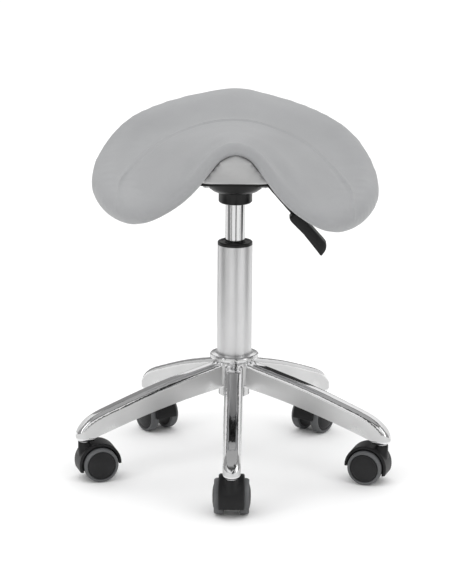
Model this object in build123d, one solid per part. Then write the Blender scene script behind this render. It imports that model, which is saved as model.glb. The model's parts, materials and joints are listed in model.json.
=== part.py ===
# Saddle stool on a five-arm castor base, height set by a gas lift.
# Millimetres.  Origin: on the floor, on the column's axis.  +Z up, front towards -Y.
import os
from math import cos, degrees, hypot, radians, sin

from build123d import *

# ---- driving dimensions ------------------------------------------------------------

# castors: twin wheels under a hood, on a plain stem
wheel_r = 25.0
wheel_w = 15.7
wheel_gap = 22.0
cap_r = wheel_r - 4.5
cap_dome = 3.6
tread_lip = 2.2
axle_r = 3.0
axle_end_cover = 5.0
trail = 20.0
hood_r = wheel_r + 6.0
hood_wheel_clear = 1.5
hood_w = 36.0
hood_web_w = 20.8
hood_skirt_z = 15.0
hood_claw_z = wheel_r
hood_boss_r = 9.0
hood_round = 3.0
stem_gap = 1.5
stem_low_r = 4.0
stem_low_end = wheel_r + 6.0
stem_flange_r = 7.5
stem_flange_t = 1.0
stem_r = 5.5
stem_len = 22.0
ring_t = 2.4
ring_depth = 0.9
running_clear = 0.05

# star base
arm_count = 5
first_arm_deg = -90.6
stem_circle_r = 224.0
arm_w_hub = 27.0
arm_w_tip = 24.6
arm_tip_under = 2 * wheel_r + 8.0
arm_hub_under = 122.0
arm_tip_top = arm_tip_under + 28.0
arm_hub_top = 160.0
arm_crown_r = 8.5
arm_wall = 3.0
arm_roof = 5.0
arm_socket_r = 14.0
arm_tip_round = 6.0
hub_bottom = 110.5
hub_stub_h = 15.0
hub_stub_wall = 1.9
hub_body_wall = 1.4
hub_rim_out = 10.0
hub_rim_z = 166.0
hub_rim_t = 4.5
hub_flare_h = 10.0
hub_top = 173.0

# gas lift
column_r = 25.0
column_wall = 2.0
column_foot_r = column_r - 4.5
column_top = 332.5
column_floor_t = 4.0
bush_flange_t = 5.0
bush_len = 80.0
bush_lip = 1.2
tube_r = 14.0
tube_wall = 1.5
tube_bottom = 136.0
tube_taper_h = 27.0
tube_tip_r = tube_r - 0.6
lift_travel = 140.0
rod_r = 5.0
rod_end_drop = 3.5
seal_h = 12.0
piston_gap = 12.0
piston_h = 12.0
piston_clear = 0.08
race_t = 2.0
race_r = 13.0
ball_r = 2.45
ball_gap = 0.05
ball_ring_r = 9.2
ball_count = 10
bump_h = 10.0
bump_r = 12.0
valve_h = 20.0
pin_r = 4.0
pin_depth = 3.0
pin_len = 14.0

# seat mechanism
plate_above_column = 98.5
plate_z = column_top + plate_above_column
plate_t = 4.0
plate_x = 104.0
plate_y = 96.0
plate_corner = 10.0
socket_r = tube_r + 6.0
socket_gap = 3.0
shroud_drop = 3.0
shroud_collar_r = tube_r + 10.0
shroud_collar_h = 15.5
shroud_bowl_r = shroud_collar_r + 17.0
shroud_bowl_h = 11.0
shroud_wall = 2.5
screw_x = 40.0
screw_y = 36.0
screw_r = 3.0
screw_head_r = 5.5
screw_head_h = 3.5
screw_hole_clear = 0.2
insert_h = 8.0
insert_top = 30.0
insert_r = 4.2

# height lever
lever_pivot_x = 30.0
lever_t = 6.0
lever_w = 12.0
lever_over_pin = 0.4
lever_above_plate = 2.8
lever_tail_x = -4.0
lever_slope_deg = 49.0
lever_drop = 65.0
lever_bend_past = 3.0
ear_gap = 1.5
lever_boss_r = 4.2
lever_slot_w = 20.0
pivot_pin_r = 2.0
ear_t = 3.0
ear_w = 12.0
paddle_w = 28.0
paddle_round = 3.0

# Side outline of the grip on the lever's end: x, and height from the plate's top.
paddle_line = [
    (76.0, -57.0), (85.0, -48.0), (91.0, -50.0), (106.0, -67.0), (131.0, -95.0), (130.0, -104.0),
    (123.0, -114.0), (113.0, -101.0), (97.0, -81.0), (79.0, -63.0),
]

# seat
seat_lean_deg = 1.8
edge_bulge = 0.42
cover_t = 1.5
pan_t = 6.0
pan_under_foam = 6.0
pan_share = 0.78
keel_gap = 4.5
keel_wall = 3.0
keel_floor_share = 0.86

# Lines of the underside cover: where, half width, height of its lower face above the
# plate's top.
keel_lines = [
    (-143.0, 24.0, 49.0), (-132.0, 36.0, 32.0), (-112.0, 44.0, 16.0), (-84.0, 52.0, 6.0),
    (-52.0, 56.0, 0.0), (0.0, 54.0, 0.0), (50.0, 58.0, 0.0), (80.0, 60.0, 9.0),
]

# Lines of the seat's upper surface: where the line crosses the seat (y), how thick the
# cushion is there, and points (x, z) from the ridge out to the edge of one half, with z from
# the plate's top.
seat_profile = [
    (-160.0, 6.0, [(0, 77), (28, 66), (53, 34), (80, 3), (105, -15), (126, -22)]),
    (-147.0, 15.0, [(0, 82), (31, 69), (58, 35), (86, 4), (115, -16), (143, -22)]),
    (-115.0, 25.0, [(0, 78), (36, 64), (67, 35), (98, 5), (132, -14), (166, -16)]),
    (-62.0, 36.0, [(0, 71), (42, 61), (80, 39), (114, 11), (148, -5), (180, -1)]),
    (0.0, 42.0, [(0, 66), (50, 58), (90, 43), (125, 22), (155, 13), (185, 18)]),
    (50.0, 42.0, [(0, 63), (46, 58), (80, 49), (112, 40), (142, 37), (171, 44)]),
    (98.0, 40.0, [(0, 77), (40, 74), (72, 70), (98, 67), (122, 67), (146, 69)]),
    (138.0, 34.0, [(0, 93), (30, 91), (54, 89), (75, 86), (94, 84), (110, 82)]),
    (164.0, 22.0, [(0, 98), (22, 97), (38, 95), (51, 93), (62, 91), (71, 89)]),
    (178.0, 8.0, [(0, 93), (15, 92), (26, 91), (35, 90), (42, 89), (47, 87)]),
]

# ---- sizes that follow -------------------------------------------------------------

arm_angles = [first_arm_deg + 360.0 / arm_count * i for i in range(arm_count)]
wheel_centre_z = wheel_r
hub_stub_r = column_foot_r + hub_stub_wall
hub_body_r = column_r + hub_body_wall
hub_rim_r = column_r + hub_rim_out
wheel_in = wheel_gap / 2
axle_half = wheel_in + wheel_w - axle_end_cover
hood_top_z = arm_tip_under - stem_gap
column_bottom = hub_bottom + 0.5
floor_top = column_bottom + column_floor_t
race_low_z = floor_top
ball_z = race_low_z + race_t + ball_r + ball_gap
race_high_z = race_low_z + race_t + 2 * (ball_r + ball_gap)
bump_z = race_high_z + race_t
tube_in_r = tube_r - tube_wall
piston_z = tube_bottom + seal_h + lift_travel + piston_gap
plate_under = plate_z - plate_t
tube_top = plate_under - socket_gap
tube_taper_z = tube_top - tube_taper_h
shroud_bottom = tube_taper_z - shroud_drop
valve_z = tube_top - valve_h
lever_z = plate_z + lever_above_plate + lever_t / 2
lever_under = plate_z + lever_above_plate
shroud_neck_z = shroud_bottom + shroud_collar_h
shroud_rim_z = shroud_neck_z + shroud_bowl_h
seat_tip = Pos(0, 0, plate_z) * Rot(0, seat_lean_deg, 0) * Pos(0, 0, -plate_z)
seat_lines = [(y, t, [(x, plate_z + z) for x, z in half]) for y, t, half in seat_profile]


def write(shape, name):
    """One named sub-part, one file."""
    shape.label = name
    export_step(shape, os.path.join("parts", name + ".step"))


def ring(outer, inner, low, high):
    """Upright hollow cylinder on the column's axis."""
    body = Pos(0, 0, low) * Cylinder(outer, high - low, align=(Align.CENTER, Align.CENTER, Align.MIN))
    if inner <= 0:
        return body
    return body - Pos(0, 0, low) * Cylinder(inner, high - low, align=(Align.CENTER, Align.CENTER, Align.MIN))


def turned(points):
    """Solid turned about the column's axis from (r, z) points."""
    outline = make_face(Plane.XZ * Polyline(*points, close=True))
    return revolve(outline, Axis.Z)


def block(x0, x1, y0, y1, z0, z1):
    """Box between two corners."""
    size = Box(x1 - x0, y1 - y0, z1 - z0, align=(Align.MIN, Align.MIN, Align.MIN))
    return Pos(x0, y0, z0) * size


# ---- star base ---------------------------------------------------------------------

def column_outer_at(z):
    """Radius of the column's outside, which tapers inside the hub."""
    share = (min(z, hub_top) - column_bottom) / (hub_top - column_bottom)
    return column_foot_r + (column_r - column_foot_r) * share


def hub_outline():
    """Outside of the hub, as (r, z) points from the bottom up."""
    flare_z = hub_rim_z - hub_flare_h
    return [
        (hub_stub_r, hub_bottom),
        (hub_stub_r, hub_bottom + hub_stub_h),
        (hub_body_r, hub_bottom + hub_stub_h + 1.5),
        (hub_body_r, flare_z),
        (hub_body_r + 2.5, flare_z + 5.5),
        (hub_rim_r, hub_rim_z),
        (hub_rim_r, hub_rim_z + hub_rim_t),
        (hub_rim_r - 1.5, hub_rim_z + hub_rim_t + 1.0),
        (column_r, hub_top),
    ]


def make_hub():
    foot = (column_outer_at(column_bottom), column_bottom)
    bore = [foot, (foot[0], hub_bottom)]
    return turned(hub_outline() + bore)


def arm_side():
    """Side outline of one arm, in the plane of radius and height."""
    tip_x = stem_circle_r + arm_w_tip / 2
    top = Spline(
        (10, arm_hub_top + 6),
        (110, arm_hub_top - 25),
        (186, arm_tip_top + 20.5),
        (stem_circle_r, arm_tip_top),
        (tip_x, arm_tip_under + 11),
    )
    under = Spline(
        (stem_circle_r - 12, arm_tip_under + 5.5),
        (150, arm_tip_under + 29),
        (90, arm_hub_under - 15.5),
        (10, arm_hub_under + 4),
    )
    nose = Polyline((tip_x, arm_tip_under + 11), (tip_x, arm_tip_under), (stem_circle_r - 12, arm_tip_under))
    heel = Line((stem_circle_r - 12, arm_tip_under), (stem_circle_r - 12, arm_tip_under + 5.5))
    root = Line((10, arm_hub_under + 4), (10, arm_hub_top + 6))
    edges = [*top.edges(), *nose.edges(), *heel.edges(), *under.edges(), *root.edges()]
    return Plane.XZ * make_face(Wire(edges))


def arm_blank(inset):
    """Arm with its taper in plan and its rounded tip, shrunk sideways by inset."""
    half_hub = arm_w_hub / 2 - inset
    half_tip = arm_w_tip / 2 - inset
    plan = make_face(Polyline(
        (0, half_hub), (stem_circle_r, half_tip), (stem_circle_r, -half_tip), (0, -half_hub), close=True))
    plan += Pos(stem_circle_r, 0) * Circle(half_tip)
    return extrude(arm_side(), arm_w_hub, both=True) & extrude(plan, hub_top)


def make_arm():
    """One pressed arm: crowned on top, open below, solid round the castor stem."""
    solid = arm_blank(0)
    top = max((f for f in solid.faces() if f.normal_at().Z > 0.5), key=lambda f: f.area)
    rims = [e for e in top.edges() if e.center().X > 20]
    solid = fillet(rims, arm_crown_r)
    low = [e for e in solid.edges() if abs(e.center().Z - arm_tip_under) < 0.01]
    solid = fillet([e for e in low if e.center().X > stem_circle_r], arm_tip_round)
    channel = Pos(0, 0, -arm_roof) * arm_blank(arm_wall)
    channel &= block(0, stem_circle_r - arm_socket_r, -arm_w_hub, arm_w_hub, 0, hub_top)
    socket = Pos(stem_circle_r, 0, arm_tip_under) * Cylinder(
        stem_r, stem_len, align=(Align.CENTER, Align.CENTER, Align.MIN))
    return solid - channel - socket - turned([(0, hub_bottom), *hub_outline(), (0, hub_top)])


def make_star_arms():
    arm = make_arm()
    return Compound([Rot(0, 0, angle) * arm for angle in arm_angles])


def make_column():
    outside = [(column_foot_r, column_bottom), (column_r, hub_top), (column_r, column_top)]
    inside = [
        (column_r - column_wall, column_top),
        (column_r - column_wall, hub_top),
        (column_outer_at(floor_top) - column_wall, floor_top),
        (rod_r + 0.5, floor_top),
        (rod_r + 0.5, column_bottom),
    ]
    return turned(outside + inside)


def make_guide_bush():
    low = column_top - bush_len
    high = column_top + bush_flange_t
    bore = tube_r + running_clear
    return turned([
        (bore, low), (column_r - column_wall, low), (column_r - column_wall, column_top),
        (column_r, column_top), (column_r, high - 1.0), (column_r - 1.0, high),
        (column_r - 4.0, high), (bore + 1.0, high - bush_lip), (bore, high - bush_lip - 1.0),
    ])


# ---- gas lift: what turns with the seat but stays at its height ---------------------

def make_rod():
    low = column_bottom - rod_end_drop
    high = piston_z + piston_h + 3.0
    rod = ring(rod_r, 0, low, high)
    return rod - ring(rod_r + 1, rod_r - 0.8, column_bottom - 2.4, column_bottom - 0.8)


def make_clip():
    return ring(rod_r + 3.2, rod_r - 0.8, column_bottom - 2.4, column_bottom - 0.8)


def make_balls():
    balls = []
    for i in range(ball_count):
        balls.append(Rot(0, 0, 360 / ball_count * i) * Pos(ball_ring_r, 0, ball_z) * Sphere(ball_r))
    return Compound(balls)


def make_cage():
    half = ball_r * 0.4
    cage = ring(race_r - 1.0, rod_r + 0.5, ball_z - half, ball_z + half)
    for i in range(ball_count):
        hole = Pos(ball_ring_r, 0, ball_z) * Cylinder(ball_r + 0.15, 4 * half)
        cage -= Rot(0, 0, 360 / ball_count * i) * hole
    return cage


def make_piston():
    return ring(tube_in_r - piston_clear, rod_r, piston_z, piston_z + piston_h)


# ---- gas lift: what rises with the seat ---------------------------------------------

def make_tube():
    return turned([
        (tube_in_r, tube_bottom), (tube_r, tube_bottom), (tube_r, tube_taper_z),
        (tube_tip_r, tube_top), (tube_in_r, tube_top),
    ])


def make_valve():
    bore_low = lever_under - lever_over_pin - pin_r - pin_depth - pin_len
    body = ring(tube_in_r, 0, valve_z, tube_top)
    return body - ring(pin_r + running_clear, 0, bore_low, tube_top)


def make_release_pin():
    apex = lever_under - lever_over_pin
    low = apex - pin_r - pin_len
    stem = ring(pin_r, 0, low, apex - pin_r)
    return stem + Pos(0, 0, apex - pin_r) * Sphere(pin_r)


# ---- seat mechanism -----------------------------------------------------------------

def lever_line():
    """Middle of the lever strip: along over the pin, then down under the wing."""
    slope = radians(lever_slope_deg)
    bend_x = lever_pivot_x + lever_bend_past
    run = (lever_z - plate_z + lever_drop) / sin(slope)
    end = (bend_x + run * cos(slope), plate_z - lever_drop)
    return [(lever_tail_x, lever_z), (bend_x, lever_z), end]


def make_lever_arm():
    a, b, c = lever_line()
    slope = radians(lever_slope_deg)
    flat = block(a[0], b[0], -lever_w / 2, lever_w / 2, lever_z - lever_t / 2, lever_z + lever_t / 2)
    run = hypot(c[0] - b[0], c[1] - b[1])
    drop = block(0, run, -lever_w / 2, lever_w / 2, -lever_t / 2, lever_t / 2)
    drop = Pos(b[0], 0, b[1]) * Rot(0, degrees(slope), 0) * drop
    elbow = Pos(b[0], 0, b[1]) * Rot(90, 0, 0) * Cylinder(lever_t / 2, lever_w)
    boss = Pos(lever_pivot_x, 0, lever_z) * Rot(90, 0, 0) * Cylinder(lever_boss_r, lever_w)
    bore = Pos(lever_pivot_x, 0, lever_z) * Rot(90, 0, 0) * Cylinder(pivot_pin_r + running_clear, 2 * lever_w)
    return flat + drop + elbow + boss - bore


def make_paddle():
    """Moulded grip on the lever's end, seen from the side as a bent blade."""
    outline = make_face(Plane.XZ * Pos(0, plate_z) * Polyline(*paddle_line, close=True))
    blade = extrude(outline, paddle_w / 2, both=True)
    ends = [e for e in blade.edges() if abs(abs(e.center().Y) - paddle_w / 2) < 0.01]
    return fillet(ends, paddle_round) - make_lever_arm()


def make_pivot_pin():
    half = lever_w / 2 + ear_gap + ear_t
    return Pos(lever_pivot_x, 0, lever_z) * Rot(90, 0, 0) * Cylinder(pivot_pin_r, 2 * half)


def lever_way():
    """Space that the lever swings in, through the plate and the shroud."""
    half = lever_slot_w / 2
    return block(lever_pivot_x - 8, plate_x, -half, half, shroud_neck_z + 3.5, plate_z + 0.5)


def screw_places():
    return [(x, y) for x in (-screw_x, screw_x) for y in (-screw_y, screw_y)]


def post(x, y, r, low, high):
    """Upright pin at (x, y)."""
    return Pos(x, y, 0) * ring(r, 0, low, high)


def make_plate():
    plate = Pos(0, 0, plate_under) * extrude(RectangleRounded(plate_x, plate_y, plate_corner), plate_t)
    plate -= ring(10.0, 0, plate_under, plate_z)
    plate -= lever_way()
    for x, y in screw_places():
        plate -= post(x, y, screw_r + screw_hole_clear, plate_under, plate_z)
    ear_in = lever_w / 2 + ear_gap
    ear_top = lever_z + lever_boss_r
    for side in (-1, 1):
        y0 = min(side * ear_in, side * (ear_in + ear_t))
        x0 = lever_pivot_x - ear_w / 2
        ear = block(x0, x0 + ear_w, y0, y0 + ear_t, plate_under, ear_top)
        foot_y = side * (lever_slot_w / 2 + ear_gap)
        y1 = min(side * ear_in, foot_y)
        y2 = max(side * ear_in, foot_y)
        foot = block(x0, x0 + ear_w, y1, y2, plate_under, plate_z)
        plate += ear + foot
    return plate - make_pivot_pin()


def make_socket():
    return turned([
        (tube_r, tube_taper_z), (socket_r - 1, tube_taper_z), (socket_r, tube_taper_z + 1),
        (socket_r, plate_under), (tube_tip_r, plate_under), (tube_tip_r, tube_top),
    ])


def make_shroud():
    """Collar and bowl that hide the socket under the plate."""
    inner = shroud_collar_r - shroud_wall
    rim_in = shroud_bowl_r - shroud_wall
    shell = turned([
        (tube_r + 0.6, shroud_bottom), (shroud_collar_r - 2, shroud_bottom),
        (shroud_collar_r, shroud_bottom + 2), (shroud_collar_r, shroud_neck_z),
        (shroud_collar_r + 8.5, shroud_neck_z + 2.2), (shroud_bowl_r - 3, shroud_neck_z + 6.5),
        (shroud_bowl_r, shroud_rim_z), (shroud_bowl_r + 3, plate_under), (rim_in, plate_under),
        (rim_in, shroud_rim_z + 1), (rim_in - 4, shroud_neck_z + 9), (inner, shroud_neck_z + 4),
        (inner, shroud_bottom + shroud_wall), (tube_r + 0.6, shroud_bottom + shroud_wall),
    ])
    return shell - lever_way()


def make_screws():
    screws = []
    for x, y in screw_places():
        head = post(x, y, screw_head_r, plate_under - screw_head_h, plate_under)
        screws.append(head + post(x, y, screw_r, plate_under, plate_z + insert_top))
    return Compound(screws)


def insert_holes():
    """Ways for the screws and their inserts, from the plate up into the pan."""
    return Compound([post(x, y, insert_r, plate_z, plate_z + insert_top) for x, y in screw_places()])


def make_inserts():
    """Threaded inserts, sunk in the pan over the screws."""
    top = plate_z + insert_top
    rings = [post(x, y, insert_r, top - insert_h, top) for x, y in screw_places()]
    return Compound([r - post(x, y, screw_r, plate_z, top) for r, (x, y) in zip(rings, screw_places())])


# ---- seat ---------------------------------------------------------------------------

def normals(points):
    """Outward unit normals of a half line, level at the ridge."""
    result = []
    for i, (x, z) in enumerate(points):
        x0, z0 = points[max(i - 1, 0)]
        x1, z1 = points[min(i + 1, len(points) - 1)]
        if i == 0:
            x0 = -x1
            z0 = z1
        run = hypot(x1 - x0, z1 - z0)
        result.append((-(z1 - z0) / run, (x1 - x0) / run))
    return result


def sunk(points, depth):
    """The same half line, moved down into the seat by depth."""
    return [(x - nx * depth, z - nz * depth) for (x, z), (nx, nz) in zip(points, normals(points))]


def both_halves(half):
    """Closed outline from a half that starts and ends on the ridge's plane."""
    return half + [(-x, z) for x, z in half[1:-1]][::-1]


def seat_section(y, points, shallow, deep):
    """Closed cross-section of the seat between two depths below its upper surface."""
    upper = sunk(points, shallow)
    under = sunk(points, deep)
    x, z = sunk(points, (deep + shallow) / 2)[-1]
    nx, nz = normals(points)[-1]
    bulge = (deep - shallow) * edge_bulge
    edge = (x + nz * bulge, z - nx * bulge)
    loop = both_halves(upper + [edge] + under[::-1])
    return Plane.XZ.offset(-y) * Face(Wire(Spline(*loop, periodic=True).edges()))


def make_cushion_space():
    """Everything inside the upholstery's outer face."""
    return loft([seat_section(y, points, 0, thick) for y, thick, points in seat_lines])


def make_foam():
    """Everything inside the upholstery's inner face."""
    sections = []
    for y, thick, points in seat_lines:
        end_in = cover_t if y == seat_lines[0][0] else -cover_t if y == seat_lines[-1][0] else 0
        sections.append(seat_section(y + end_in, points, cover_t, thick - cover_t))
    return loft(sections)


def cut_short(points, share):
    """The inner share of a half line, with as many points."""
    reach = points[-1][0] * share
    return [(x * share, line_height(points, x * share)) for x, z in points if x * share <= reach]


def line_height(points, x):
    """Height of a half line at x, straight between its points."""
    for (x0, z0), (x1, z1) in zip(points, points[1:]):
        if x <= x1:
            return z0 + (z1 - z0) * (x - x0) / (x1 - x0)
    return points[-1][1]


def make_pan():
    """Stiff shell moulded into the foam's lower part."""
    sections = []
    for y, thick, points in seat_lines[2:-2]:
        low = thick - pan_under_foam
        under = cut_short(sunk(points, low), pan_share)
        upper = cut_short(sunk(points, low - pan_t), pan_share)
        loop = both_halves(upper + under[::-1])
        sections.append(Plane.XZ.offset(-y) * make_face(Polyline(*loop, close=True)))
    return loft(sections, ruled=True)


def line_at(y):
    """Thickness and half line of the seat at any y between two of its lines."""
    for (y0, t0, p0), (y1, t1, p1) in zip(seat_lines, seat_lines[1:]):
        if y <= y1:
            share = (y - y0) / (y1 - y0)
            mixed = [(a + (c - a) * share, b + (d - b) * share) for (a, b), (c, d) in zip(p0, p1)]
            return t0 + (t1 - t0) * share, mixed
    return seat_lines[-1][1:]


def keel_section(y, half_x, under_z, inset):
    """Closed outline of the underside cover at y, shrunk by inset; under_z is from the plate."""
    thick, points = line_at(y)
    roof = sunk(points, thick + keel_gap + inset)
    xs = [half_x * i / 5 for i in range(6)]
    top = [(x - inset * i / 5, line_height(roof, x)) for i, x in enumerate(xs)]
    low = plate_z + under_z + inset
    top = [(x, max(z, low + 0.4)) for x, z in top]
    floor_out = (half_x * keel_floor_share - inset, low)
    loop = both_halves(top + [floor_out, (0, low)])
    return Plane.XZ.offset(-y) * make_face(Polyline(*loop, close=True))


def make_keel():
    """Moulded cover between the plate and the pan, hollow in its bow."""
    keel = loft([keel_section(y, half_x, z, 0) for y, half_x, z in keel_lines], ruled=True)
    bow = keel_lines[1:4]
    keel -= loft([keel_section(y, half_x, z, keel_wall) for y, half_x, z in bow], ruled=True)
    half = lever_slot_w / 2 + ear_t + 1.0
    keel -= block(lever_tail_x - 8, plate_x, -half, half, plate_under, plate_z + 2 * insert_top)
    for x, y in screw_places():
        keel -= post(x, y, screw_r + screw_hole_clear, plate_under, plate_z + 2 * insert_top)
    return keel


# ---- castors ------------------------------------------------------------------------

def across(r, half_low, half_high):
    """Cylinder along Y about the wheel axle, from one y to the other."""
    length = half_high - half_low
    middle = (half_high + half_low) / 2
    return Pos(-trail, middle, wheel_centre_z) * Rot(90, 0, 0) * Cylinder(r, length)


def make_hood():
    """Hood over both wheels, with the web that carries the axle and the stem."""
    half = hood_w / 2
    web = hood_web_w / 2
    shell = across(hood_r, -half, half)
    keep = block(-trail, hood_r, -half, half, hood_skirt_z, 2 * hood_r)
    keep += block(-trail - hood_r, -trail, -half, half, hood_claw_z, 2 * hood_r)
    hood = shell & keep
    rims = [e for e in hood.edges() if abs(abs(e.center().Y) - half) < 0.01 and e.length > hood_r]
    hood = fillet(rims, hood_round)
    hood += across(hood_boss_r, -web, web)
    well = wheel_r + hood_wheel_clear
    hood -= across(well, web, half + 1)
    hood -= across(well, -half - 1, -web)
    hood += ring(hood_boss_r, 0, wheel_centre_z, hood_top_z)
    hood -= ring(stem_low_r + running_clear, 0, stem_low_end - 1, hood_top_z)
    return hood - across(axle_r, -web, web)


def make_stem():
    """Plain stem: its top is held in the arm, its foot is the hood's pivot."""
    stem = ring(stem_low_r, 0, stem_low_end, arm_tip_under)
    stem += ring(stem_flange_r, 0, arm_tip_under - stem_flange_t, arm_tip_under)
    stem += ring(stem_r, 0, arm_tip_under, arm_tip_under + stem_len)
    return stem - ring(stem_r + 1, stem_r - ring_depth, *ring_span())


def ring_span():
    top = arm_tip_under + stem_len - 3.0
    return top - ring_t, top


def make_grip_ring():
    return ring(stem_r, stem_r - ring_depth, *ring_span())


def make_wheel():
    """Left wheel: dished disc with a domed outer face and a blind bore."""
    out = wheel_in + wheel_w
    outline = make_face(Plane.XY * Polyline(
        (0, wheel_in), (cap_r, wheel_in), (cap_r, out - cap_dome), (cap_r - 3, out - 1.6),
        (cap_r - 8, out - 0.5), (0, out), close=True))
    wheel = Pos(-trail, 0, wheel_centre_z) * revolve(outline, Axis.Y)
    return wheel - across(axle_r + running_clear, wheel_in, axle_half + 0.3)


def make_tread():
    """Left tyre: soft tread that wraps the edge of the wheel's face."""
    out = wheel_in + wheel_w
    outline = make_face(Plane.XY * Polyline(
        (cap_r, wheel_in), (wheel_r - 1, wheel_in), (wheel_r, wheel_in + 1),
        (wheel_r, out - cap_dome - 2), (wheel_r - 1.2, out - cap_dome + 0.2),
        (cap_r + tread_lip, out - cap_dome + 1), (cap_r, out - cap_dome), close=True))
    return Pos(-trail, 0, wheel_centre_z) * revolve(outline, Axis.Y)


def at_arm(shape, angle):
    return Rot(0, 0, angle) * Pos(stem_circle_r, 0, 0) * shape


def write_castors():
    hood = make_hood()
    axle = across(axle_r, -axle_half, axle_half)
    wheel = make_wheel()
    tread = make_tread()
    for number, angle in enumerate(arm_angles, start=1):
        tag = "_" + str(number)
        write(at_arm(hood, angle), "castor_hood" + tag)
        write(at_arm(axle, angle), "castor_axle" + tag)
        write(at_arm(wheel, angle), "left_wheel" + tag)
        write(at_arm(tread, angle), "left_tread" + tag)
        write(at_arm(mirror(wheel, Plane.XZ), angle), "right_wheel" + tag)
        write(at_arm(mirror(tread, Plane.XZ), angle), "right_tread" + tag)
    write(Compound([at_arm(make_stem(), a) for a in arm_angles]), "castor_stems")
    write(Compound([at_arm(make_grip_ring(), a) for a in arm_angles]), "stem_grip_rings")


def write_base():
    write(make_hub(), "hub")
    write(make_star_arms(), "star_arms")
    write(make_column(), "outer_column")
    write(make_guide_bush(), "guide_bush")
    write(ring(race_r, rod_r + 0.5, race_low_z, race_low_z + race_t), "lower_race")


def write_spindle():
    write(make_rod(), "piston_rod")
    write(make_clip(), "retaining_clip")
    write(make_balls(), "bearing_balls")
    write(make_cage(), "bearing_cage")
    write(ring(race_r, rod_r, race_high_z, bump_z), "upper_race")
    write(ring(bump_r, rod_r, bump_z, bump_z + bump_h), "bump_stop")
    write(make_piston(), "piston_head")


def write_seat():
    foam_space = make_foam()
    pan_blank = make_pan()
    cover = seat_tip * (make_cushion_space() - foam_space) - insert_holes()
    foam = seat_tip * (foam_space - pan_blank) - insert_holes()
    pan = seat_tip * pan_blank - insert_holes()
    write(make_tube(), "pressure_tube")
    write(ring(tube_in_r, rod_r + running_clear, tube_bottom, tube_bottom + seal_h), "tube_end_seal")
    write(make_valve(), "valve_body")
    write(make_socket(), "taper_socket")
    write(make_release_pin(), "release_pin")
    write(cover, "seat_cover")
    write(foam, "foam_cushion")
    write(pan, "seat_pan")
    write(make_keel(), "underside_cover")
    write(make_inserts(), "threaded_inserts")
    write(make_plate(), "mounting_plate")
    write(make_shroud(), "shroud_cup")
    write(make_screws(), "plate_screws")
    write(make_pivot_pin(), "lever_pivot_pin")
    write(make_lever_arm(), "lever_arm")
    write(make_paddle(), "lever_paddle")


if __name__ == "__main__":
    os.makedirs("parts", exist_ok=True)
    write_base()
    write_castors()
    write_spindle()
    write_seat()
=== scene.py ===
import json
from math import cos, exp, hypot, pi, radians, sin

import bmesh
import bpy
from mathutils import Matrix, Vector


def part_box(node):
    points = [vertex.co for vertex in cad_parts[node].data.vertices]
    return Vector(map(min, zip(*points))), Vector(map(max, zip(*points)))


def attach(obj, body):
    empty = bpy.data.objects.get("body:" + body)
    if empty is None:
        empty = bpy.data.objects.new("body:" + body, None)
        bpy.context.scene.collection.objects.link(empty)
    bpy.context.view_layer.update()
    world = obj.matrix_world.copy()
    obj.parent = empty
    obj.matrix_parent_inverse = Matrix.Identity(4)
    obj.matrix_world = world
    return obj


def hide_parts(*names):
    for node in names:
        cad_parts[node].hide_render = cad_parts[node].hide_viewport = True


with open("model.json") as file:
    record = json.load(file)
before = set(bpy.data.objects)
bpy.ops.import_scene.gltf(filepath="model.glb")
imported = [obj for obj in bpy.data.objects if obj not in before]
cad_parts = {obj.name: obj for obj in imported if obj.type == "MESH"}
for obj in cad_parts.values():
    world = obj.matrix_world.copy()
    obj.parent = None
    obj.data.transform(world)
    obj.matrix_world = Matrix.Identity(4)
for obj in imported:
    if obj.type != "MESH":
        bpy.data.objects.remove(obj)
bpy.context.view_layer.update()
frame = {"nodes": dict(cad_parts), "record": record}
nodes = frame["nodes"]
print("frame loaded:", len(nodes), "nodes")


class Flow:
    # one socket; arithmetic on it adds Math nodes
    def __init__(self, board, socket):
        self.board = board
        self.socket = socket

    def __add__(self, other):
        return self.board.maths("ADD", self, other)

    def __radd__(self, other):
        return self.board.maths("ADD", other, self)

    def __mul__(self, other):
        return self.board.maths("MULTIPLY", self, other)

    def __rmul__(self, other):
        return self.board.maths("MULTIPLY", other, self)

    def __abs__(self):
        return self.board.maths("ABSOLUTE", self)


class Wiring:
    # adds nodes to one tree
    def __init__(self, tree):
        self.tree = tree

    def put(self, kind, settings=None, sockets=None, out=0):
        node = self.tree.nodes.new(kind)
        for label, value in (settings or {}).items():
            if label == "stops":
                elements = node.color_ramp.elements
                while len(elements) < len(value):
                    elements.new(1.0)
                for element, (position, shade) in zip(elements, value):
                    element.position = position
                    element.color = (shade, shade, shade, 1.0)
            else:
                setattr(node, label, value)
        for label, value in (sockets or {}).items():
            self.feed(node.inputs[label], value)
        return Flow(self, node.outputs[out])

    def maths(self, operation, first, second=0.0):
        return self.put("ShaderNodeMath", {"operation": operation}, {0: first, 1: second})

    def feed(self, target, value):
        if isinstance(value, Flow):
            self.tree.links.new(value.socket, target)
        else:
            target.default_value = value

    def blend(self, factor, first, second):
        # sockets 0, 6, 7 are the factor and the two colours of a colour mix; 2 is its result
        return self.put("ShaderNodeMix", {"data_type": "RGBA"}, {0: factor, 6: first, 7: second}, 2)

    def ramp(self, value, low, high, fromLow=0.0, fromHigh=1.0):
        sockets = {"Value": value, "From Min": fromLow, "From Max": fromHigh, "To Min": low, "To Max": high}
        return self.put("ShaderNodeMapRange", None, sockets)


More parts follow.
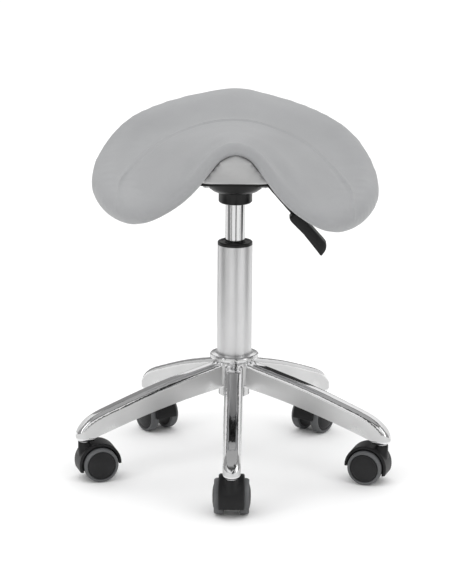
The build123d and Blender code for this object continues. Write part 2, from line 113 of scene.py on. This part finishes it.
class Board(Wiring):
    # one material: its node tree and its surface shader
    def __init__(self, name, **constants):
        self.material = bpy.data.materials.new(name)
        self.material.use_nodes = True
        Wiring.__init__(self, self.material.node_tree)
        self.shader = self.tree.nodes["Principled BSDF"]
        for label, value in constants.items():
            self.shader.inputs[label.replace("_", " ")].default_value = value
        self.place = self.put("ShaderNodeTexCoord", out="Object")

    def noise(self, scale, detail=3.0, rough=0.5, stretch=None):
        place = self.place
        if stretch:
            place = self.put("ShaderNodeMapping", None, {"Vector": place, "Scale": stretch})
        sockets = {"Vector": place, "Scale": scale, "Detail": detail, "Roughness": rough}
        return self.put("ShaderNodeTexNoise", None, sockets)

    def tint(self, factor, first, second):
        return self.blend(factor, (*first, 1.0), (*second, 1.0))

    def bump(self, height, depth, strength=1.0):
        sockets = {"Height": height, "Distance": depth, "Strength": strength}
        self.set("Normal", self.put("ShaderNodeBump", None, sockets))

    def set(self, label, value):
        self.feed(self.shader.inputs[label], value)
        return self


vinyl = {
    "light": (0.302, 0.305, 0.311),
    "dark": (0.278, 0.281, 0.287),
    "grain": 900.0,
    "grainDepth": 0.00012,
}


def makeVinyl():
    board = Board("seatVinyl", Sheen_Weight=0.08, Coat_Weight=0.06, Coat_Roughness=0.45)
    cloud = board.noise(9.0, 4.0, 0.6)
    grain = {"Vector": board.place, "Scale": vinyl["grain"]}
    pores = board.put("ShaderNodeTexVoronoi", None, grain, "Distance")
    creases = board.noise(320.0, 5.0, 0.62)
    mottle = board.ramp(cloud, 0.0, 1.0, 0.35, 0.65)
    board.set("Base Color", board.tint(mottle, vinyl["dark"], vinyl["light"]))
    board.set("Roughness", board.ramp(creases * 0.6 + cloud * 0.4, 0.46, 0.6, 0.3, 0.7))
    board.bump(pores * 0.55 + creases * 0.45, vinyl["grainDepth"], 0.55)
    return board.material


def makeChrome(name, tone=0.78, rough=0.05, swirl=0.03, flankShadeTone=0.0, flankRough=0.0):
    # crowns are mirror bright; upright flanks get a darker base colour, painted shade, and a rougher finish
    board = Board(name, Metallic=1.0)
    smear = board.noise(14.0, 4.0, 0.6)
    hairline = board.noise(60.0, 3.0, 0.7, (1.0, 1.0, 26.0))
    wear = board.ramp(smear * 0.7 + hairline * 0.3, 0.0, 1.0, 0.35, 0.7)
    bright = board.tint(wear, (tone, tone, tone * 1.005), (tone * 0.95, tone * 0.95, tone * 0.955))
    if flankShadeTone:
        facing = board.put("ShaderNodeNewGeometry", out="Normal")
        upward = board.put("ShaderNodeSeparateXYZ", None, {"Vector": facing}, "Z")
        flank = board.ramp(abs(upward), 1.0, 0.0, 0.06, 0.3)
        # painted shade: the upright flanks take a darker base colour than the crowns, still varied by the
        # random wear
        shadedWornTone = flankShadeTone * 0.9
        paintedShadeFlank = board.tint(wear, (flankShadeTone, flankShadeTone, flankShadeTone), (shadedWornTone, shadedWornTone, shadedWornTone))
        board.set("Base Color", board.blend(flank, bright, paintedShadeFlank))
        board.set("Roughness", board.ramp(wear, rough, rough + swirl) + flank * flankRough)
    else:
        board.set("Base Color", bright)
        board.set("Roughness", board.ramp(wear, rough, rough + swirl))
    board.bump(board.noise(7.0, 2.0), 0.0002, 0.1)
    return board.material


def makeMoulded(name, dark, light, rough, grain=700.0, depth=0.00006):
    board = Board(name, Specular_IOR_Level=0.25)
    cloud = board.noise(26.0, 4.0, 0.6)
    sparks = board.noise(grain, 3.0, 0.55)
    board.set("Base Color", board.tint(board.ramp(cloud, 0.0, 1.0, 0.35, 0.68), dark, light))
    board.set("Roughness", board.ramp(cloud * 0.5 + sparks * 0.5, rough - 0.05, rough + 0.07, 0.3, 0.7))
    board.bump(sparks, depth, 0.6)
    return board.material


def makeSteel(name, tone, rough):
    board = Board(name, Metallic=1.0)
    turning = board.noise(90.0, 4.0, 0.6, (1.0, 1.0, 9.0))
    board.set("Base Color", board.tint(turning, (tone, tone, tone), (tone * 0.8, tone * 0.8, tone * 0.82)))
    board.set("Roughness", board.ramp(turning, rough, rough + 0.14, 0.3, 0.7))
    board.bump(turning, 0.00004, 0.5)
    return board.material


def makeBrass():
    board = Board("turnedBrass", Metallic=1.0)
    turning = board.noise(120.0, 3.0, 0.6, (1.0, 1.0, 12.0))
    board.set("Base Color", board.tint(turning, (0.72, 0.55, 0.28), (0.58, 0.43, 0.2)))
    board.set("Roughness", board.ramp(turning, 0.25, 0.4))
    return board.material


def makePly():
    board = Board("pressedPly")
    plies = board.noise(6.0, 5.0, 0.6, (1.0, 1.0, 60.0))
    board.set("Base Color", board.tint(plies, (0.55, 0.40, 0.24), (0.36, 0.24, 0.13)))
    board.set("Roughness", board.ramp(plies, 0.5, 0.7))
    board.bump(plies, 0.0002, 0.5)
    return board.material


# one finish for each material slot: name, darker and lighter colour, roughness, then grain where it has one
finishes = {
    "seat_vinyl": makeVinyl(),
    # the arm chrome's 0.60 is the painted-shade base colour of its upright flanks
    "chrome_plate": makeChrome("chromePlate", 0.80, 0.05, 0.04, 0.60, 0.26),
    "chrome_tube": makeChrome("columnChrome", 0.62, 0.34, 0.08),
    "lift_tube": makeChrome("liftTubeChrome", 0.62, 0.10, 0.04),
    "black_bush": makeMoulded("bushPlastic", (0.007, 0.007, 0.007), (0.011, 0.011, 0.011), 0.36),
    "black_steel": makeMoulded(
        "powderCoat", (0.005, 0.005, 0.005), (0.009, 0.009, 0.009), 0.46, 420.0, 0.0001,
    ),
    "lever_steel": makeMoulded("leverPaint", (0.010, 0.010, 0.010), (0.016, 0.016, 0.017), 0.36, 300.0),
    "shroud_plastic": makeMoulded("shroudPlastic", (0.004, 0.004, 0.004), (0.007, 0.007, 0.007), 0.3),
    "paddle_plastic": makeMoulded(
        "paddlePlastic", (0.007, 0.007, 0.007), (0.012, 0.012, 0.012), 0.42, 520.0, 0.0001,
    ),
    "hood_nylon": makeMoulded(
        "hoodNylon", (0.006, 0.006, 0.0065), (0.010, 0.010, 0.0105), 0.45, 480.0, 0.00012,
    ),
    "wheel_nylon": makeMoulded(
        "wheelNylon", (0.010, 0.010, 0.0105), (0.015, 0.015, 0.016), 0.4, 480.0, 0.0001,
    ),
    "grey_tread": makeMoulded("greyTread", (0.085, 0.087, 0.09), (0.125, 0.127, 0.13), 0.6, 260.0, 0.0002),
    "keel_plastic": makeMoulded("keelPlastic", (0.355, 0.355, 0.355), (0.405, 0.405, 0.405), 0.42, 500.0),
    "bump_rubber": makeMoulded("bumpRubber", (0.012, 0.012, 0.012), (0.02, 0.02, 0.02), 0.7, 240.0, 0.0002),
    "cage_plastic": makeMoulded("cageNylon", (0.62, 0.58, 0.46), (0.7, 0.66, 0.54), 0.5),
    "foam": makeMoulded("mouldedFoam", (0.6, 0.55, 0.36), (0.72, 0.66, 0.45), 0.85, 160.0, 0.0006),
    "bearing_steel": makeSteel("bearingSteel", 0.6, 0.2),
    "zinc_steel": makeSteel("zincSteel", 0.56, 0.3),
    "piston_brass": makeBrass(),
    "pan_board": makePly(),
}
slotOf = {row["node"]: row["material_slot"] for row in frame["record"]["subparts"]}
for name, node in nodes.items():
    node.data.materials.clear()
    node.data.materials.append(finishes[slotOf[name]])
print("materials made:", len(finishes))


shading = {
    "pieceAngle": 38,       # degrees past which an edge stays sharp
    "nodeAngle": 32,
    "merge": 1e-6,          # points closer than this are one
}


def addPiece(name, form, body, slot, *replaced):
    # turns a bmesh into a finished object that rides on its body
    if isinstance(form, bmesh.types.BMesh):
        bmesh.ops.recalc_face_normals(form, faces=form.faces)
        mesh = bpy.data.meshes.new(name)
        form.to_mesh(mesh)
        form.free()
    else:
        mesh = form
    piece = bpy.data.objects.new(name, mesh)
    bpy.context.scene.collection.objects.link(piece)
    mesh.materials.clear()
    mesh.materials.append(finishes[slot])
    for face in mesh.polygons:
        face.use_smooth = True
    mesh.set_sharp_from_angle(angle=radians(shading["pieceAngle"]))
    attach(piece, body)
    if replaced:
        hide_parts(*replaced)
    return piece


def evenNormals(piece):
    # keeps broad faces flat in the reflections and the narrow rounds smooth
    modifier = piece.modifiers.new("evenNormals", "WEIGHTED_NORMAL")
    modifier.keep_sharp = True


def lathe(points, centre=(0, 0, 0), axis=(0, 0, 1), steps=96):
    # spins a closed outline of (radius, along) points about an axis through centre
    form = bmesh.new()
    axis = Vector(axis).normalized()
    side = axis.orthogonal().normalized()
    centre = Vector(centre)
    chain = [form.verts.new(centre + side * r + axis * along) for r, along in points]
    edges = [form.edges.new(pair) for pair in zip(chain, chain[1:] + chain[:1])]
    outline = chain + edges
    bmesh.ops.spin(form, geom=outline, cent=centre, axis=axis, angle=2 * pi, steps=steps, use_merge=True)
    bmesh.ops.remove_doubles(form, verts=form.verts, dist=shading["merge"])
    bmesh.ops.dissolve_degenerate(form, edges=form.edges, dist=1e-7)
    return form


def softened(points, radius, segments=4):
    # rounds the corners of a closed outline of (radius, along) points, segments + 1 points to a corner
    result = []
    count = len(points)
    for i, here in enumerate(points):
        here = Vector(here)
        before = Vector(points[i - 1]) - here
        after = Vector(points[(i + 1) % count]) - here
        reach = min(radius, before.length * 0.45, after.length * 0.45)
        start = here + before.normalized() * reach
        end = here + after.normalized() * reach
        for k in range(segments + 1):
            t = k / segments
            result.append(tuple((1 - t) ** 2 * start + 2 * t * (1 - t) * here + t ** 2 * end))
    return result


seat = {
    "voxel": 0.005,
    "firstRelax": 3,        # smoothing passes before the puffing
    "relax": 18,            # and after it
    "swell": 0.0035,        # how far the skin may puff out
    "pressure": 4.0,
    "skinMass": 0.3,
    "steps": 20,            # frames that the puffing runs for
    "seamCentre": (0.0, -0.085),
    "seamReach": (0.162, 0.147),
    "seamHeight": 0.0014,
    "seamWidth": 0.0022,
    "seamSpan": 0.02,       # points further than this from the seam stay put
    "grooveOffset": 0.005,  # shallow groove inside the seam
    "grooveWidth": 0.004,
    "grooveShare": 0.6,
    "growth": 0.0040,       # moved outwards to take up what the relaxing loses
    "lipDip": 0.0045,       # hollow behind the rolled front lip
    "lipDipAt": -0.126,
    "lipDipLength": 0.017,
    "lipDipWidth": 0.085,
}


def settled(piece):
    # mesh of a piece with its modifiers applied
    depsgraph = bpy.context.evaluated_depsgraph_get()
    return bpy.data.meshes.new_from_object(piece.evaluated_get(depsgraph))


def relaxed(form, passes):
    for _ in range(passes):
        bmesh.ops.smooth_vert(
            form, verts=form.verts, factor=0.5, use_axis_x=True, use_axis_y=True, use_axis_z=True,
        )


def remeshed(source, name, voxel, relax):
    # outer skin of a CAD solid as an even quad mesh
    form = bmesh.new()
    form.from_mesh(source.data)
    bmesh.ops.remove_doubles(form, verts=form.verts, dist=shading["merge"])
    mesh = bpy.data.meshes.new(name)
    form.to_mesh(mesh)
    form.free()
    piece = bpy.data.objects.new(name, mesh)
    bpy.context.scene.collection.objects.link(piece)
    modifier = piece.modifiers.new("evenMesh", "REMESH")
    modifier.mode = "VOXEL"
    modifier.voxel_size = voxel
    mesh = settled(piece)
    bpy.data.objects.remove(piece)
    form = bmesh.new()
    form.from_mesh(mesh)
    keepOuter(form)
    relaxed(form, relax)
    form.to_mesh(mesh)
    form.free()
    return mesh


def keepOuter(form):
    # drops the skins of inner hollows: only the largest connected skin stays
    form.verts.ensure_lookup_table()
    seen = set()
    skins = []
    for vert in form.verts:
        if vert in seen:
            continue
        skin = [vert]
        seen.add(vert)
        for member in skin:
            for edge in member.link_edges:
                other = edge.other_vert(member)
                if other not in seen:
                    seen.add(other)
                    skin.append(other)
        skins.append(skin)
    skins.sort(key=len)
    spare = [vert for skin in skins[:-1] for vert in skin]
    bmesh.ops.delete(form, geom=spare, context="VERTS")


def puffed(mesh):
    # swells the cover like a stuffed skin, each point held within the swell
    piece = bpy.data.objects.new("puffing", mesh)
    bpy.context.scene.collection.objects.link(piece)
    rest = [vert.co.copy() for vert in mesh.vertices]
    cloth = piece.modifiers.new("cloth", "CLOTH")
    cloth.settings.quality = 5
    cloth.settings.mass = seat["skinMass"]
    cloth.settings.use_pressure = True
    cloth.settings.uniform_pressure_force = seat["pressure"]
    cloth.settings.effector_weights.gravity = 0.0
    for number in range(1, seat["steps"] + 1):
        bpy.context.scene.frame_set(number)
    result = settled(piece)
    bpy.context.scene.frame_set(1)
    bpy.data.objects.remove(piece)
    for vert, start in zip(result.vertices, rest):
        move = vert.co - start
        if move.length > seat["swell"]:
            vert.co = start + move.normalized() * seat["swell"]
    return result


def seamOffset(place):
    # signed distance from the seam, seen from above
    x = (place.x - seat["seamCentre"][0]) / seat["seamReach"][0]
    y = max((place.y - seat["seamCentre"][1]) / seat["seamReach"][1], 0.0)
    return (hypot(x, y) - 1.0) * seat["seamReach"][1]


def makeSeat():
    mesh = remeshed(nodes["foam_cushion"], "seatCushion", seat["voxel"], seat["firstRelax"])
    mesh = puffed(mesh)
    form = bmesh.new()
    form.from_mesh(mesh)
    relaxed(form, seat["relax"])
    form.normal_update()
    moves = [vert.normal * seat["growth"] for vert in form.verts]
    for vert, move in zip(form.verts, moves):
        if vert.normal.z > 0.1:
            near = exp(-((vert.co.y - seat["lipDipAt"]) / seat["lipDipLength"]) ** 2)
            near *= exp(-(vert.co.x / seat["lipDipWidth"]) ** 4)
            move -= vert.normal * near * seat["lipDip"]
        vert.co += move
    form.to_mesh(mesh)
    form.free()
    piece = bpy.data.objects.new("smoothing", mesh)
    bpy.context.scene.collection.objects.link(piece)
    finer = piece.modifiers.new("finer", "SUBSURF")
    finer.levels = 1
    finer.render_levels = 1
    mesh = settled(piece)
    bpy.data.objects.remove(piece)
    form = bmesh.new()
    form.from_mesh(mesh)
    form.normal_update()
    for vert in form.verts:
        offset = seamOffset(vert.co)
        if vert.normal.z > 0.05 and abs(offset) < seat["seamSpan"]:
            ridge = exp(-(offset / seat["seamWidth"]) ** 2)
            groove = exp(-((offset + seat["grooveOffset"]) / seat["grooveWidth"]) ** 2)
            vert.co += vert.normal * (ridge - seat["grooveShare"] * groove) * seat["seamHeight"]
    form.to_mesh(mesh)
    form.free()
    cushion = addPiece("seatCushion", mesh, "seat", "seat_vinyl", "seat_cover", "foam_cushion")
    print("seat:", len(cushion.data.polygons), "faces")


makeSeat()

keel = {
    "voxel": 0.0025,
    "relax": 26,
    "growth": 0.0028,
    "footDrop": 0.010,      # the foot lies this far below the plate's top
    "bow": -0.05,           # only what is further forward than this is drawn back
    "undercut": 0.022,
    "undercutHeight": 0.019,
}


def makeKeel():
    # upper part grows towards the cushion; the bow's foot is drawn back under itself
    mesh = remeshed(nodes["underside_cover"], "undersideCover", keel["voxel"], keel["relax"])
    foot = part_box("mounting_plate")[1].z - keel["footDrop"]
    form = bmesh.new()
    form.from_mesh(mesh)
    form.normal_update()
    moves = [vert.normal * keel["growth"] for vert in form.verts]
    for vert, move in zip(form.verts, moves):
        rise = (vert.co.z - foot) / keel["undercutHeight"]
        vert.co += move * min(max(rise, 0.0), 1.0)
        if rise < 1.0 and vert.co.y < keel["bow"]:
            vert.co.y += keel["undercut"] * (1.0 - max(rise, 0.0)) ** 2
    form.to_mesh(mesh)
    form.free()
    addPiece("undersideCover", mesh, "seat", "keel_plastic", "underside_cover")
    print("underside cover done")


makeKeel()


lift = {
    "steps": 128,
    "wall": 0.002,
    "columnFrom": 0.172,    # the column shows from here up, just above the hub
    "columnRound": 0.0006,
    "tubeWall": 0.0015,
    "tubeRound": 0.0004,
    "taper": (0.0006, 0.027),       # how much the lift tube narrows at its top, and over what length
    "bushRim": 0.005,       # height of the lip that caps the column
    "bushRound": 0.0006,
    "bushCrown": [(0.0, 0.001), (0.0012, 0.0), (0.0035, 0.0), (0.006, 0.0013)],     # in from the rim, down
    "bushThroat": [(0.0012, 0.0018), (0.0001, 0.003)],      # out from the lift tube, down
}


def makeLift():
    wall = lift["wall"]
    low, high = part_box("outer_column")
    radius = (high.x - low.x) / 2
    start = lift["columnFrom"]
    outline = [(radius, start), (radius, high.z), (radius - wall, high.z), (radius - wall, start)]
    form = lathe(softened(outline, lift["columnRound"], 3), steps=lift["steps"])
    addPiece("columnTube", form, "base", "chrome_tube")
    tubeLow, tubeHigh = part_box("pressure_tube")
    tubeRadius = (tubeHigh.x - tubeLow.x) / 2
    inner = tubeRadius - lift["tubeWall"]
    narrowing, length = lift["taper"]
    outline = [
        (tubeRadius, tubeLow.z), (tubeRadius, tubeHigh.z - length), (tubeRadius - narrowing, tubeHigh.z),
        (inner, tubeHigh.z), (inner, tubeLow.z),
    ]
    form = lathe(softened(outline, lift["tubeRound"], 2), steps=lift["steps"])
    addPiece("liftTube", form, "seat", "lift_tube", "pressure_tube")
    low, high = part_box("guide_bush")
    rim = high.z - lift["bushRim"]
    outline = [(radius - wall, low.z), (radius - wall, rim), (radius, rim)]
    outline += [(radius - inset, high.z - drop) for inset, drop in lift["bushCrown"]]
    outline += [(tubeRadius + gap, high.z - drop) for gap, drop in lift["bushThroat"]]
    outline.append((outline[-1][0], low.z))
    form = lathe(softened(outline, lift["bushRound"], 3), steps=lift["steps"])
    addPiece("guideBush", form, "base", "black_bush", "guide_bush")
    print("lift done")


makeLift()


def mergedCopy(node):
    # the node's own surface as one smooth-shading skin
    form = bmesh.new()
    form.from_mesh(nodes[node].data)
    bmesh.ops.remove_doubles(form, verts=form.verts, dist=2e-6)
    bmesh.ops.dissolve_degenerate(form, edges=form.edges, dist=1e-6)
    mesh = bpy.data.meshes.new(node)
    form.to_mesh(mesh)
    form.free()
    return mesh


# pieces whose modelled shape is shown as it is: name, then node and body
keptShapes = {
    "starArms": ("star_arms", "base"),
    "hub": ("hub", "base"),
    "mountingPlate": ("mounting_plate", "seat"),
    "shroudCup": ("shroud_cup", "seat"),
    "leverArm": ("lever_arm", "lever"),
}


def makeKeptShapes():
    for name, (node, body) in keptShapes.items():
        piece = addPiece(name, mergedCopy(node), body, slotOf[node], node)
        evenNormals(piece)
    for number in range(1, 6):
        node = "castor_hood_" + str(number)
        body = "castor_" + str(number)
        piece = addPiece("castorHood" + str(number), mergedCopy(node), body, "hood_nylon", node)
        evenNormals(piece)
    print("kept shapes done")


makeKeptShapes()


grip = {"voxel": 0.0016, "relax": 12}


def makeGrip():
    mesh = remeshed(nodes["lever_paddle"], "leverGrip", grip["voxel"], grip["relax"])
    addPiece("leverGrip", mesh, "lever", "paddle_plastic", "lever_paddle")
    print("lever grip done")


makeGrip()


base = {
    "armCount": 5,
    "firstArm": -90.6,      # bearing of the first castor, degrees
    "stemCircle": 0.224,
}

castor = {
    "steps": 72,
    "trail": 0.020,         # the axle lies this far inwards of the stem
    "gap": 0.011,           # from the middle to a wheel's inner face
    "width": 0.0157,
    "cap": 0.0205,
    "radius": 0.025,
    "capRound": 0.0005,
    "capFace": [        # in from the cap's edge, in from the outer face
        (0.0, 0.0040), (0.0005, 0.0034), (0.0018, 0.0026), (0.0026, 0.0028), (0.0034, 0.0022),
        (0.007, 0.0011), (0.012, 0.0003),
    ],
    "treadRound": 0.0008,
    "treadChamfer": 0.0012,
    "treadShoulder": [(0.0, 0.0058), (0.0008, 0.0038), (0.002, 0.0024)],     # in from the rim, from the face
    "treadRebate": [(0.0012, 0.0024), (0.0, 0.0036)],       # out from the cap, in from the face
}


def makeWheels():
    half = castor["gap"]
    out = half + castor["width"]
    cap = castor["cap"]
    r = castor["radius"]
    chamfer = castor["treadChamfer"]
    disc = [(0, half), (cap, half)]
    disc += [(cap - inset, out - drop) for inset, drop in castor["capFace"]]
    disc.append((0.0, out))
    segments = 3
    disc = softened(disc, castor["capRound"], segments)[:-segments - 1]
    disc.append((0, out))       # the last corner lies on the axle and stays a point
    tyre = [(cap, half), (r - chamfer, half), (r, half + chamfer)]
    tyre += [(r - inset, out - drop) for inset, drop in castor["treadShoulder"]]
    tyre += [(cap + gap, out - drop) for gap, drop in castor["treadRebate"]]
    tyre = softened(tyre, castor["treadRound"])
    for number in range(1, base["armCount"] + 1):
        angle = radians(base["firstArm"] + 360 / base["armCount"] * (number - 1))
        reach = base["stemCircle"] - castor["trail"]
        centre = (reach * cos(angle), reach * sin(angle), r)
        tag = "_" + str(number)
        for sign, side in ((1, "left"), (-1, "right")):
            axis = (-sin(angle) * sign, cos(angle) * sign, 0)
            body = side + "_roller" + tag
            form = lathe(disc, centre, axis, castor["steps"])
            addPiece(side + "Wheel" + str(number), form, body, "wheel_nylon", side + "_wheel" + tag)
            form = lathe(tyre, centre, axis, castor["steps"])
            addPiece(side + "Tread" + str(number), form, body, "grey_tread", side + "_tread" + tag)
    print("castor wheels done")


makeWheels()

# nodes that show as they are get the same smooth faces and crisp edges
for name, node in nodes.items():
    for face in node.data.polygons:
        face.use_smooth = True
    node.data.set_sharp_from_angle(angle=radians(shading["nodeAngle"]))


studio = {
    "distance": 3.2,
    "height": 1.1144,
    "pitch": 14.922,        # degrees below level
    "roll": 0.441,
    "lens": 142.03,
    "shiftX": -0.0149,
    "sky": 1.0,
    "skyStops": [
        (0.0, 0.42), (0.16, 0.55), (0.34, 1.0), (0.58, 0.95), (0.66, 0.08), (0.73, 0.10),
        (0.80, 0.46), (1.0, 0.42),
    ],
    "panelStops": [
        (0.0, 0.34), (0.10, 0.62), (0.19, 0.86), (0.25, 0.60), (0.29, 0.12), (0.33, 0.45), (0.39, 0.86),
        (0.50, 0.36), (0.60, 0.80), (0.69, 0.85), (0.75, 0.16), (0.82, 0.80), (0.91, 0.60), (1.0, 0.34),
    ],
    "floorTone": 0.93,
    "flagDistance": 0.8,
    "flagHeight": 1.1,
    "flags": [      # bearing in degrees from the front, width, brightness
        (9, 0.16, 0.03), (84, 0.50, 0.34), (-78, 0.62, 0.33), (-44, 0.20, 0.45),
        (160, 0.13, 0.04), (-150, 0.30, 0.30), (55, 0.06, 0.55),
    ],
    "lamps": {      # place, size, power, aim, seen by mirrors
        "overhead": ((0, 1.0, 6.0), (16.0, 16.0), 900, (0, 1.0, 0), False),
        "leftBox": ((-2.0, -1.6, 1.3), (0.5, 2.2), 10, (0, 0, 0.3), True),
        "rightBox": ((2.0, -1.4, 1.1), (0.5, 2.0), 7, (0, 0, 0.3), True),
    },
}


def makeCamera():
    data = bpy.data.cameras.new("camera")
    data.lens = studio["lens"]
    data.sensor_width = 36.0
    data.shift_x = studio["shiftX"]
    camera = bpy.data.objects.new("camera", data)
    tilt = Matrix.Rotation(radians(90 - studio["pitch"]), 4, "X")
    turn = tilt @ Matrix.Rotation(radians(studio["roll"]), 4, "Z")
    camera.matrix_world = Matrix.Translation((0, -studio["distance"], studio["height"])) @ turn
    bpy.context.scene.collection.objects.link(camera)
    bpy.context.scene.camera = camera


def makeFloor():
    form = bmesh.new()
    bmesh.ops.create_grid(form, x_segments=1, y_segments=1, size=30.0)
    mesh = bpy.data.meshes.new("floor")
    form.to_mesh(mesh)
    form.free()
    board = Board("paleFloor", Roughness=0.7)
    tone = studio["floorTone"]
    cloud = board.noise(2.0, 3.0)
    board.set("Base Color", board.tint(cloud, (tone, tone, tone), (tone * 0.985, tone * 0.985, tone * 0.985)))
    mesh.materials.append(board.material)
    floor = bpy.data.objects.new("floor", mesh)
    bpy.context.scene.collection.objects.link(floor)


def addLamp(name, place, size, power, aim, mirrored):
    data = bpy.data.lights.new(name, "AREA")
    data.shape = "RECTANGLE"
    data.size, data.size_y = size
    data.energy = power
    lamp = bpy.data.objects.new(name, data)
    lamp.location = place
    lamp.visible_glossy = mirrored
    lamp.rotation_euler = (Vector(aim) - Vector(place)).to_track_quat("-Z", "Y").to_euler()
    bpy.context.scene.collection.objects.link(lamp)


def makeFlags():
    # upright grey cards that only mirrors see: they draw the long lines down the tubes
    for number, (bearing, width, tone) in enumerate(studio["flags"]):
        form = bmesh.new()
        bmesh.ops.create_grid(form, x_segments=1, y_segments=1, size=0.5)
        bmesh.ops.scale(form, vec=(width, studio["flagHeight"], 1), verts=form.verts)
        upright = Matrix.Rotation(pi / 2, 3, "X")
        bmesh.ops.rotate(form, verts=form.verts, cent=(0, 0, 0), matrix=upright)
        offset = (0, -studio["flagDistance"], studio["flagHeight"] / 2)
        bmesh.ops.translate(form, verts=form.verts, vec=offset)
        swing = Matrix.Rotation(radians(bearing), 3, "Z")
        bmesh.ops.rotate(form, verts=form.verts, cent=(0, 0, 0), matrix=swing)
        mesh = bpy.data.meshes.new("flag" + str(number))
        form.to_mesh(mesh)
        form.free()
        board = Board(
            "flagCard" + str(number), Roughness=1.0, Base_Color=(0, 0, 0, 1), Specular_IOR_Level=0.0,
            Emission_Color=(tone, tone, tone, 1.0), Emission_Strength=1.0,
        )
        mesh.materials.append(board.material)
        flag = bpy.data.objects.new("flag" + str(number), mesh)
        bpy.context.scene.collection.objects.link(flag)
        flag.visible_camera = False
        flag.visible_diffuse = False
        flag.visible_shadow = False
        flag.visible_transmission = False


def makeSky():
    # upright light and dark panels round the room give the tubes their lines; bright above, dim at the top
    world = bpy.data.worlds.new("studioSky")
    bpy.context.scene.world = world
    world.use_nodes = True
    sky = Wiring(world.node_tree)
    light = sky.tree.nodes["Background"]
    place = sky.put("ShaderNodeTexCoord", out="Generated")
    height = sky.put("ShaderNodeSeparateXYZ", None, {0: place}, "Z")
    around = sky.put("ShaderNodeTexGradient", {"gradient_type": "RADIAL"}, {"Vector": place}, "Fac")
    panels = sky.put("ShaderNodeValToRGB", {"stops": studio["panelStops"]}, {"Fac": around})
    dome = sky.put("ShaderNodeValToRGB", {"stops": studio["skyStops"]}, {"Fac": height})
    above = sky.ramp(height, 0.0, 1.0, 0.22, 0.4)
    sky.feed(light.inputs["Color"], sky.blend(above, panels, dome))
    light.inputs["Strength"].default_value = studio["sky"]


makeCamera()
makeFloor()
makeFlags()
makeSky()
for name, values in studio["lamps"].items():
    addLamp(name, *values)
bpy.context.scene.view_settings.view_transform = "Standard"
print("studio done")
